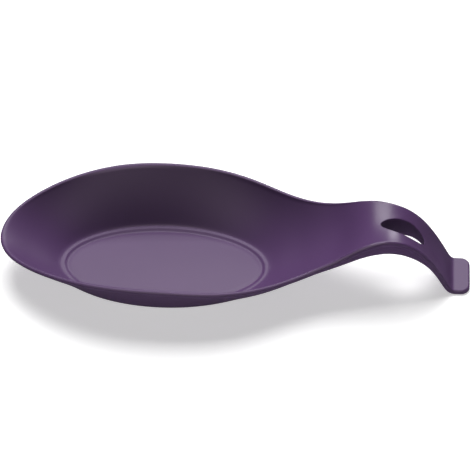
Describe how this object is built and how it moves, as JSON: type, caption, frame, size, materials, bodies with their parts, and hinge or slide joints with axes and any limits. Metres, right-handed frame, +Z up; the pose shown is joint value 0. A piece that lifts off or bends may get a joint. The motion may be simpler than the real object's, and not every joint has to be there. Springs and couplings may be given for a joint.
{
  "type": "spoon rest",
  "caption": "Silicone spoon rest moulded in one piece: deep oval bowl with a flat floor, narrow neck, arched handle with a hanging slot, and a small foot tab.",
  "frame": {"origin": "centre of the flat oval foot under the bowl, on the surface that the rest stands on", "axes": "+Z up, +X from the bowl along the handle to the foot tab; the part is symmetric about the XZ plane"},
  "size_m": [0.276, 0.1, 0.0485],
  "materials": {
    "silicone": "satin, deep purple silicone rubber"
  },
  "bodies": {
    "root": {"spoon_rest": "silicone"}
  },
  "joints": []
}
